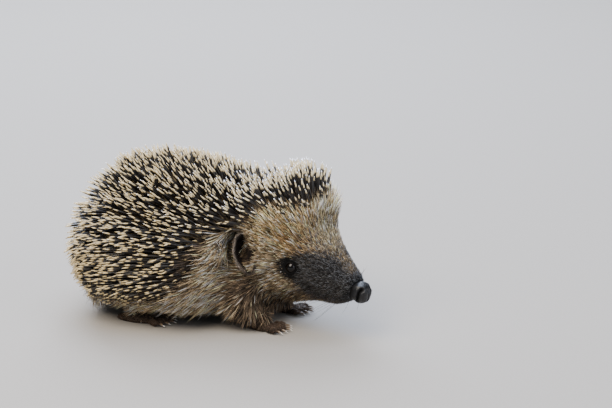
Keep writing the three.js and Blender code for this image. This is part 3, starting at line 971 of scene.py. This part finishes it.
swell -= 0.09 * groove + 0.05 * ease(0.55, 0.9, aimed[:, 2])
for at, height, reach in NOSE_FORMS:
    swell += height * np.exp(-((one_side(aimed) - unit(np.array(at))) ** 2).sum(1) / reach ** 2)
aimed[:, 1] *= 1 - 0.22 * ease(0.0, -0.9, aimed[:, 2])
aimed[:, 1:] *= 1 - 0.24 * ease(0.4, -0.5, aimed[:, :1])  # drawn in where it meets the fur
move_to(nose, from_head(NOSE_AT + aimed * NOSE_HALF * (1 + swell)[:, None]))
rear = ease(0.35, -0.3, aimed[:, 0])  # rougher where it meets the fur, and painted darker there as shade
# the nostrils, the groove and the rear edge carry painted shade
store(nose, "pit", np.maximum.reduce([pit, groove * 0.7, rear * 0.7]))
dress(nose, "nose_pad", nose_finish)
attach(nose, "root")
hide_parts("nose")

# %% [markdown]
# ## Claws
# A claw is a curved horn cone, darker at its root, worn pale at the point. One is drawn out of a
# ball, and each toe gets a copy turned its own way.

# %% Claws
horn = start_material("claw_horn")
along = add(horn, "ShaderNodeAttribute", attribute_name="along").outputs["Fac"]
growth = {0.0: "#3d3027", 0.6: "#7d6a55", 1.0: "#b3a186"}
grown = set_stops(add(horn, "ShaderNodeValToRGB", {"Fac": along}), growth)
end_material(horn, Base_Color=grown, Roughness=0.32, Coat_Weight=0.2, Coat_Roughness=0.2)
CLAW_THICK = 0.7


def make_claw(length):
    """A claw along x from its root, in mm, that curves down to its point."""
    claw = ball((0, 0, 0), (1, 1, 1), 12, 10)
    sideways = {"value": math.pi / 2, "orient_axis": "Y", "center_override": (0, 0, 0)}
    edit(claw, (bpy.ops.transform.rotate, sideways))
    spots = unit(spots_of(claw))
    along = (spots[:, 0] + 1) / 2
    thick = CLAW_THICK * (1 - 0.85 * along ** 1.5)
    spots = np.stack([along * length, spots[:, 1] * thick * 0.8, spots[:, 2] * thick - 0.9 * along ** 2], 1)
    move_to(claw, spots)
    store(claw, "along", along)
    claw.data.shade_smooth()
    return claw


claws = []
for foot in FEET.values():
    for side in SIDES:
        for start, ahead, angle in toe_places(foot, side):
            claw = make_claw(foot["claw"] + 0.6)
            root = start + ahead * (foot["toe"] + 0.1) + [0, 0, 0.1]
            move_to(claw, turn_flat(spots_of(claw), angle) + root)
            claws.append(claw)
claws = join(claws, "claws")
dress(claws, "claws", horn)
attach(claws, "root")
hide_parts("forefoot_left", "forefoot_right", "hindfoot_left", "hindfoot_right")

# %% [markdown]
# ## Planting and growing
# Roots are scattered over the skin's triangles by chance, more where the coat is dense. Each hair
# or quill is one closed tapering solid: rings of a few corners along a curve that starts at its
# lift and bends toward the skin. All those of one zone are joined into one mesh straight from
# arrays, because tens of thousands of separate objects would be too slow. On the bake map each
# keeps a small patch at the place of its root.

# %% Roots on the skin
# roots to the square mm, before the quills are spaced
DENSITY = {
    "quills": 1.5, "muzzle": 8.9, "cheeks": 6, "brow": 5, "body": 3.2, "feet": 8, "ears": 7,
    "whiskers": 0.12,
}


def plant(density, seed):
    """Random roots, with so many to the square mm at each point of the skin."""
    rng = np.random.default_rng(seed)
    corners = spots[faces]
    area = np.linalg.norm(np.cross(corners[:, 1] - corners[:, 0], corners[:, 2] - corners[:, 0]), axis=1) / 2
    expected = np.cumsum(area * density[faces].mean(1))
    total = int(expected[-1])
    picked = np.searchsorted(expected, rng.random(total) * expected[-1])
    b, c = rng.random((2, total))
    flip = b + c > 1
    b, c = np.where(flip, 1 - b, b), np.where(flip, 1 - c, c)
    return picked, np.stack([1 - b - c, b, c], 1)


def at_roots(values, roots):
    """What the skin's points hold, at each root."""
    picked, share = roots
    return (values[faces[picked]] * share.reshape(-1, 3, *[1] * (values.ndim - 1))).sum(1)


def start_hairs(density, seed):
    """What every hair or quill needs to know about its root.

    `flat` is its thickness as a share of its width, and `lean` is how far its tip is drawn aside.
    """
    roots = plant(density, seed)
    root, normal = at_roots(spots, roots), unit(at_roots(normals, roots))
    within = at_roots(inside, roots)
    return dict(
        coat_of(root, normal, within), root=root, normal=normal, lie=lie_of(root, normal, within),
        paint=at_roots(paint, roots), uv=(face_uv[roots[0]] * roots[1][..., None]).sum(1),
        flat=np.ones(len(root)), lean=np.zeros(root.shape),
        seed=seed + 1, rng=np.random.default_rng(seed + 1),
    )


def keep(hairs, chosen):
    """Only the chosen hairs."""
    return {key: value[chosen] if isinstance(value, np.ndarray) else value for key, value in hairs.items()}


# %% [markdown]
# Quills keep a distance from each other, and hairs gather in locks. Both need the nearest
# neighbours of a root, and a k-d tree finds them quickly.

# %% Spacing, locks and turns
def tree_of(spots):
    tree = KDTree(len(spots))
    for number, spot in enumerate(spots):
        tree.insert(spot, number)
    tree.balance()
    return tree


def spaced(spots, gap):
    """Marks roots that are at least `gap` mm from all the marked ones before them."""
    tree, free = tree_of(spots), np.ones(len(spots), bool)
    for number in range(len(spots)):
        if free[number]:
            for _, other, _ in tree.find_range(spots[number], gap[number]):
                if other > number:
                    free[other] = False
    return free


def toward_locks(root, size, strength, seed):
    """How far each tip shifts toward the middle of its lock, with about `size` hairs to a lock."""
    rng = np.random.default_rng(seed)
    middles = root[rng.choice(len(root), max(1, len(root) // size), replace=False)]
    tree = tree_of(middles)
    nearest = np.array([tree.find(spot)[1] for spot in root])
    return (middles[nearest] - root) * strength, nearest


def swing(directions, normals, angle):
    """Turns directions about the skin's normal."""
    sideways = np.cross(normals, directions)
    return directions * np.cos(angle)[:, None] + sideways * np.sin(angle)[:, None]


# %% The shape of hairs
PATCH = 0.003  # the side of one tuft's place on the bake map
FLOOR_GAP = 0.15


def bent_rings(hairs, shape, sunk):
    """The points of every hair: rings of a few corners along a bending line, and then its tip."""
    share, girth, corners = np.array(shape[0]), np.array(shape[1]), shape[2]
    middle = (share[1:] + share[:-1]) / 2
    angle = hairs["lift"][:, None] + hairs["droop"][:, None] * middle
    step = hairs["length"][:, None] * np.diff(share)
    ahead = np.pad(np.cumsum(np.cos(angle) * step, 1), ((0, 0), (1, 0)))
    above = np.pad(np.cumsum(np.sin(angle) * step, 1), ((0, 0), (1, 0))) - sunk * (1 - share)
    line = hairs["root"][:, None] + ahead[..., None] * hairs["lie"][:, None]
    line += above[..., None] * hairs["normal"][:, None] + hairs["lean"][:, None] * (share ** 2)[:, None]
    line[..., 2] = np.maximum(line[..., 2], FLOOR_GAP + 0.4 * share)

    run = unit(np.gradient(line, axis=1))[:, :-1]
    side = unit(np.cross(hairs["lie"], hairs["normal"]))[:, None]
    across = unit(np.cross(run, side))
    turns = np.arange(corners) * 2 * math.pi / corners
    half = (hairs["width"][:, None] / 2 * girth[:-1])[:, :, None, None]
    ring = side[:, :, None] * np.cos(turns)[:, None]
    ring = ring + hairs["flat"][:, None, None, None] * across[:, :, None] * np.sin(turns)[:, None]
    ring = line[:, :-1, None] + half * ring
    return np.concatenate([ring.reshape(len(line), -1, 3), line[:, -1:]], 1)


def faces_of_one(share, corners):
    """The corners of one hair's faces, each face's size, and each corner's place on its patch."""
    rings = len(share) - 1
    loops, sizes = list(range(corners))[::-1], [corners]
    patch = [(j / corners, 0.0) for j in loops]
    for k in range(rings):
        for j in range(corners):
            start, after = k * corners + j, k * corners + (j + 1) % corners
            here, there, low = j / corners, (j + 1) / corners, share[k]
            if k < rings - 1:
                loops += [start, after, after + corners, start + corners]
                patch += [(here, low), (there, low), (there, share[k + 1]), (here, share[k + 1])]
                sizes.append(4)
            else:
                loops += [start, after, rings * corners]
                patch += [(here, low), (there, low), ((here + there) / 2, 1.0)]
                sizes.append(3)
    return loops, sizes, patch


# %% [markdown]
# A mesh is three lists: points, the corners of its faces one after another, and where each face
# starts among them. All hairs of a piece have the same faces, so one hair's lists are repeated,
# each time counted on from the points of the hair before.

# %% One piece from thousands of hairs
def grow(name, hairs, shape, finish, sunk=0.5):
    """One closed tapering solid for each hair, joined into one piece; lengths are in mm."""
    share, corners = np.array(shape[0]), shape[2]
    points = bent_rings(hairs, shape, sunk)
    loops, sizes, patch = faces_of_one(share, corners)
    count, each = points.shape[:2]
    mesh = bpy.data.meshes.new(name)
    mesh.vertices.add(count * each)
    mesh.vertices.foreach_set("co", (points * MM).astype(np.float32).ravel())
    mesh.loops.add(count * len(loops))
    whole = (np.arange(count)[:, None] * each + loops).astype(np.int32)
    mesh.loops.foreach_set("vertex_index", whole.ravel())
    mesh.polygons.add(count * len(sizes))
    starts = np.arange(count)[:, None] * len(loops) + np.cumsum([0, *sizes[:-1]])
    mesh.polygons.foreach_set("loop_start", starts.astype(np.int32).ravel())
    mesh.update(calc_edges=True)
    mesh.shade_smooth()
    layer = mesh.uv_layers.new(name="OFBake")
    places = hairs["uv"][:, None] + PATCH * (np.array(patch) - 0.5)
    layer.uv.foreach_set("vector", places.astype(np.float32).ravel())
    piece = bpy.data.objects.new(name, mesh)
    bpy.context.collection.objects.link(piece)
    store(piece, "along", np.tile(np.append(np.repeat(share[:-1], corners), 1.0), count))
    paint_points(piece, "tint", np.repeat(hairs["tint"], each, axis=0))
    if "shift" in hairs:
        store(piece, "shift", np.repeat(hairs["shift"], each))
    mesh.materials.append(finish)
    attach(piece, "root")
    triangles = sum(size - 2 for size in sizes) * count
    print(f"{name}: {count} grown, {triangles} triangles")
    return piece


# %% [markdown]
# ## Quills
# A grown hedgehog has five thousand quills or more, a young one fewer. They are set evenly, no
# nearer than QUILL_GAP, and each leans and turns a little by itself, so that the cream tips scatter.

# %% Quills
# places along it, its girth at each of them, and the corners of its section
QUILL = [0, 0.08, 0.3, 0.72, 0.86, 0.95, 1], [0.5, 0.62, 0.95, 1.0, 0.8, 0.42, 0], 5
QUILL_WIDTH = 1.06
QUILL_GAP = 1.42
OVERREACH = 0.8  # how far a quill's tip may pass the outline, in mm
CROWN_FROM, RUMP_TO = 8, -50  # x, in mm

ground = coat_of(spots, normals, inside)
quills = start_hairs(ease(0.2, 0.6, ground["spiny"]) * (1 - on_ear) * DENSITY["quills"], seed=11)
quills = keep(quills, spaced(quills["root"], np.full(len(quills["root"]), QUILL_GAP)))
rng, count = quills["rng"], len(quills["root"])
quills["normal"] = unit(0.5 * quills["normal"] + 0.5 * broad_out(quills["root"]))
quills["lie"] = along_skin(quills["lie"], quills["normal"])
up = ease(0.2, 0.9, quills["normal"][:, 2])
varied = rng.normal(1.0, 0.09 + 0.05 * up, count) - 0.03 * up
quills["length"] = quills["quill_length"] * varied.clip(0.6, 1.12)
from_edge = above_edge(quills["root"])
on_crown = ease(6, 18, quills["root"][:, 0]) * ease(-2, 0, from_edge)
young = 0.45 + 0.4 * ease(10, 3, from_edge)  # the share of young, shorter quills
shorter = np.where(rng.random(count) < young, rng.uniform(0.42, 0.8, count), 1.0)
quills["length"] *= 1 + on_crown * (shorter - 1)
quills["lift"] = quills["quill_lift"] + np.radians(rng.normal(4, 4 + 4 * up, count))
room = (depth_of(quills) + OVERREACH) / quills["length"]
quills["lift"] = np.minimum(quills["lift"], np.arcsin(np.clip(room, 0.1, 1)))
quills["droop"] = np.radians(rng.normal(-8, 4, count))
restless = 7 + 22 * up  # they cross more on the back
quills["lie"] = swing(quills["lie"], quills["normal"], np.radians(rng.normal(0, 1, count) * restless))
quills["width"] = QUILL_WIDTH * rng.normal(1.0, 0.08, count).clip(0.8, 1.2)
# quills that face up, more so toward the head, are tinted paler and bluer: partly their own paler colour,
# partly a painted sheen of the sky on their shafts
warm, pale_and_sky_sheen_tint = np.array([1.0, 0.97, 0.9]), np.array([1.2, 1.26, 1.42])
pallor_and_sky_sheen = (up * (0.4 + 0.6 * ease(-20, 15, quills["root"][:, 0])))[:, None]
quills["tint"] = np.clip(rng.normal(0.95, 0.07, (count, 1)), 0.7, 1.05) * (warm + pallor_and_sky_sheen * (pale_and_sky_sheen_tint - warm))
quills["shift"] = rng.normal(0, 0.02, count) + 0.035 * up * ease(0, 20, quills["root"][:, 0])
zones = {
    "quills_crown": quills["root"][:, 0] > CROWN_FROM,
    "quills_rump": quills["root"][:, 0] < RUMP_TO,
}
middle = ~(zones["quills_crown"] | zones["quills_rump"])
for side, sign in SIDES.items():
    zones[f"quills_back_{side}"] = middle & (quills["root"][:, 1] * sign > 0)
MANTLE_OF = {"quills_crown": "mantle_crown", "quills_rump": "mantle_rump"}
for name, chosen in zones.items():
    piece = grow(name, keep(quills, chosen), QUILL, quill_finish)
    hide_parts(MANTLE_OF.get(name, "mantle_back"))

# %% [markdown]
# ## Fur
# Fur lies closer than quills and much denser. Neighbouring hairs draw together into locks, which
# is what makes the streaks, and each lock is a little lighter or darker than the next.

# %% Locks and tints
FUR_AMONG_QUILLS = 14.0  # fur runs this far past the edge of the spines, at the first quills' feet
LONG_HAIR = [0, 0.35, 0.72, 1], [0.9, 1.0, 0.7, 0], 3
SHORT_HAIR = [0, 0.5, 1], [1.0, 0.85, 0], 3


def blend_markings(hairs, reach):
    """Each hair takes the marking from up to `reach` mm away, so that patches run into each other."""
    away = hairs["root"] + hairs["rng"].normal(0, reach, hairs["root"].shape)
    hairs["paint"] = markings(away, hairs["inside"])
    return hairs


def comb(hairs, width, lock_size, lock_pull, spreads, contrast, salt=0.06, grey=0.0):
    """Gives fur its locks, its unevenness and its tints.

    `spreads` is how much hairs differ in turn, in lift (both in degrees) and in length; `salt` and
    `grey` are the shares of pale and of grey hairs.
    """
    rng, seed, count = hairs["rng"], hairs["seed"], len(hairs["root"])
    turn_spread, lift_spread, length_spread = spreads
    hairs["lean"], lock = toward_locks(hairs["root"], lock_size, lock_pull, seed)
    of_lock = np.random.default_rng(seed).normal(0, 1, (lock.max() + 1, 3))[lock].T
    hairs["length"] = hairs["fur_length"] * rng.normal(1.0, length_spread, count).clip(0.5, 1.5)
    lift = np.radians(rng.normal(0, lift_spread, count) + 0.6 * lift_spread * of_lock[0])
    hairs["lift"] = np.maximum(hairs["fur_lift"] + lift, math.radians(4))
    hairs["droop"] = -0.45 * hairs["lift"]
    turn = np.radians(rng.normal(0, turn_spread, count) + 0.8 * turn_spread * of_lock[1])
    hairs["lie"] = swing(hairs["lie"], hairs["normal"], turn)
    hairs["width"] = width * rng.normal(1.0, 0.18, count).clip(0.6, 1.5)
    hairs["flat"] = hairs["flat"] * 0.7
    light = np.exp(contrast * (0.75 * rng.normal(0, 1, count) + 0.85 * of_lock[2]))
    pale = rng.random(count) < salt
    light *= np.where(pale, 2.4, 1.0)
    hairs["width"] *= np.where(pale, 1.35, 1.0)
    hairs["lift"] += np.where(pale, math.radians(3), 0.0)
    grizzled = (rng.random(count) < grey)[:, None]
    greys = colours["grizzle"] * rng.uniform(0.25, 1.15, (count, 1))
    hairs["tint"] = np.clip(np.where(grizzled, greys, hairs["paint"] * light[:, None]), 0, 0.9)
    return hairs


def clear_of_eyes(hairs):
    """Drops hairs that would cross the eyes."""
    clear = np.ones(len(hairs["root"]), bool)
    for share in (0.5, 1.0):
        reach = hairs["root"] + hairs["lie"] * (hairs["length"] * share * np.cos(hairs["lift"]))[:, None]
        reach = reach + hairs["normal"] * (hairs["length"] * share * np.sin(hairs["lift"]))[:, None]
        for at in eye_centres.values():
            clear &= np.linalg.norm(reach - at, axis=1) > EYE_RADIUS + 0.75
    return keep(hairs, clear)


# %% [markdown]
# Fur grows everywhere but under the deeper quills, on the ears' skin, round the eyes and on the
# nose. It is shortest and densest on the muzzle, longer on the cheeks and longest on the brow.

# %% Fur of the face
nose_gap = np.linalg.norm((to_head(spots) - NOSE_AT) / NOSE_HALF, axis=1)
from_ear = ear_gap(spots) + 3.0 * ease(EAR_AT[0] - 1, EAR_AT[0] - 4, to_head(spots)[:, 0])
off_ear = (1 - on_ear) * ease(4.5, 6.0, from_ear)
furry = ease(FUR_AMONG_QUILLS, 4.0, inside) * off_ear * ease(0.78, 0.88, nose_gap)
furry = furry * ease(EYE_RADIUS + 0.8, EYE_RADIUS + 1.6, eye_gap(spots))
hx = to_head(spots)[:, 0]
muzzle_share = ease(26, 36, hx) * ground["face"]
brow_share = ground["brow"] * ground["face"]

muzzle = start_hairs(furry * muzzle_share * DENSITY["muzzle"], seed=21)
muzzle = comb(
    blend_markings(muzzle, reach=1.0), width=0.24, lock_size=4, lock_pull=0.3,
    spreads=(14, 8, 0.25), contrast=0.5, salt=0.15, grey=0.26,
)
muzzle = clear_of_eyes(muzzle)
grow("fur_muzzle", muzzle, SHORT_HAIR, face_finish, 0.2)

cheek_roots = furry * (1 - muzzle_share) * (1 - brow_share) * ground["face"] * DENSITY["cheeks"]
cheeks = start_hairs(cheek_roots, seed=31)
cheeks = comb(
    blend_markings(cheeks, reach=0.9), width=0.3, lock_size=4, lock_pull=0.6,
    spreads=(9, 6, 0.22), contrast=0.8, salt=0.12,
)
cheeks = clear_of_eyes(cheeks)
grow("fur_cheeks", cheeks, LONG_HAIR, face_finish, 0.3)

brow = start_hairs(furry * (1 - muzzle_share) * brow_share * DENSITY["brow"], seed=41)
brow = comb(
    blend_markings(brow, reach=1.2), width=0.36, lock_size=4, lock_pull=0.7,
    spreads=(8, 7, 0.24), contrast=0.9, salt=0.14,
)
brow = clear_of_eyes(brow)
grow("fur_brow", brow, LONG_HAIR, fur_finish, 0.3)

# %% [markdown]
# The body's fur is coarse. Few hairs are needed where they don't show, under the belly and under
# the spines. The feet have short hairs that point to the toes.

# %% Fur of the body and feet
SHOULDER_FROM = 6  # x, in mm

on_feet = ease(6.5, 4.5, spots[:, 2])
hidden = 1 - 0.55 * ease(-0.3, -0.8, normals[:, 2]) - 0.3 * ease(4, 9, inside)
body = start_hairs(furry * (1 - ground["face"]) * (1 - on_feet) * hidden * DENSITY["body"], seed=51)
body = comb(body, width=0.34, lock_size=5, lock_pull=0.6, spreads=(8, 6, 0.24), contrast=0.8, salt=0.14)
in_front = body["root"][:, 0] > SHOULDER_FROM
for part, along in {"shoulder": in_front, "flank": ~in_front}.items():
    for side, sign in SIDES.items():
        chosen = along & (body["root"][:, 1] * sign > 0)
        grow(f"fur_{part}_{side}", keep(body, chosen), LONG_HAIR, fur_finish)

off_sole = ease(0.6, 1.6, spots[:, 2]) * ease(-0.6, -0.2, normals[:, 2])
feet = start_hairs(furry * on_feet * off_sole * DENSITY["feet"], seed=61)
feet["fur_length"] = np.minimum(feet["fur_length"], 1.5)
feet = comb(feet, width=0.22, lock_size=6, lock_pull=0.3, spreads=(8, 4, 0.15), contrast=0.2)
feet["lie"] = along_skin(np.tile([1.0, 0, -0.1], (len(feet["root"]), 1)), feet["normal"])
grow("fur_feet", feet, SHORT_HAIR, face_finish, 0.2)

# %% [markdown]
# ## Ear fuzz and whiskers
# The back and rim of an ear have a short pale down. The whiskers are a dozen stiff dark hairs on
# each side of the muzzle, which sweep out and back.

# %% Ear fuzz
fuzz = start_hairs(on_ear * (1 - 0.8 * ear_inside) * DENSITY["ears"], seed=71)
on_rim = np.linalg.norm(fuzz["paint"] - colours["ear_rim"], axis=1) < 0.05
fuzz["fur_length"] = np.where(on_rim, 0.9, 2.2)
fuzz["fur_lift"] = np.full(len(fuzz["root"]), math.radians(14))
fuzz["lie"] = along_skin(np.tile([-0.3, 0, 1.0], (len(fuzz["root"]), 1)), fuzz["normal"])
fuzz = comb(fuzz, width=0.16, lock_size=6, lock_pull=0.2, spreads=(14, 6, 0.2), contrast=0.4)
grow("fur_ears", fuzz, SHORT_HAIR, face_finish, 0.15)

# %% Whiskers
WHISKER_SHARE = np.linspace(0, 1, 9)
WHISKER_PAD = (48, 6.5, -8.5)  # its middle, in the head's directions
whisker_finish = fur_material("whisker_keratin", "#ffffff", "#ffffff", 0.4)
from_pad = (one_side(to_head(spots)) - WHISKER_PAD) * [0.75, 1, 1]
on_pad = ease(6.5, 4.0, np.linalg.norm(from_pad, axis=1))
whiskers = start_hairs(DENSITY["whiskers"] * on_pad, seed=81)
rng, count = whiskers["rng"], len(whiskers["root"])
whiskers["length"] = rng.uniform(12, 22, count)
whiskers["lift"] = np.radians(rng.uniform(38, 58, count))
whiskers["droop"] = np.radians(rng.uniform(-34, -10, count))
whiskers["lie"] = swing(whiskers["lie"], whiskers["normal"], np.radians(rng.normal(0, 16, count)))
whiskers["width"] = rng.uniform(0.16, 0.22, count)
whiskers["lean"][:, 2] = -0.12 * whiskers["length"]
whiskers["tint"] = np.tile(linear("#2b231d"), (count, 1))
whisker = WHISKER_SHARE, 1 - 0.75 * WHISKER_SHARE, 4
grow("whiskers", whiskers, whisker, whisker_finish, 0.3)

# %% [markdown]
# ## Floor and finish
# The skin stands for every flesh solid. The floor is matt grey paper, which takes a soft shadow and
# has no shine.

# %% Floor and finish
paint_points(skin, "marking", paint)
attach(skin, "root")
LIMBS = [f"{part}_{side}" for part in ("forefoot", "hindfoot", "ear") for side in SIDES]
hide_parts(*FLESH, *LIMBS)

FLOOR_SIZE = 6
paper = start_material("grey_paper_floor")
place = add(paper, "ShaderNodeTexCoord").outputs["Object"]
fibres = {"Vector": place, "Scale": 900.0, "Detail": 3.0}  # flocks of about 1 mm
fibres = add(paper, "ShaderNodeTexNoise", fibres).outputs["Fac"]
tone = set_stops(add(paper, "ShaderNodeValToRGB", {"Fac": fibres}), {0.3: "#938e87", 0.7: "#98938c"})
end_material(paper, Base_Color=tone, Roughness=0.9)
bpy.ops.mesh.primitive_plane_add(size=FLOOR_SIZE)
floor = bpy.context.object
floor.name = floor.data.name = "floor"
floor.data.materials.append(paper)
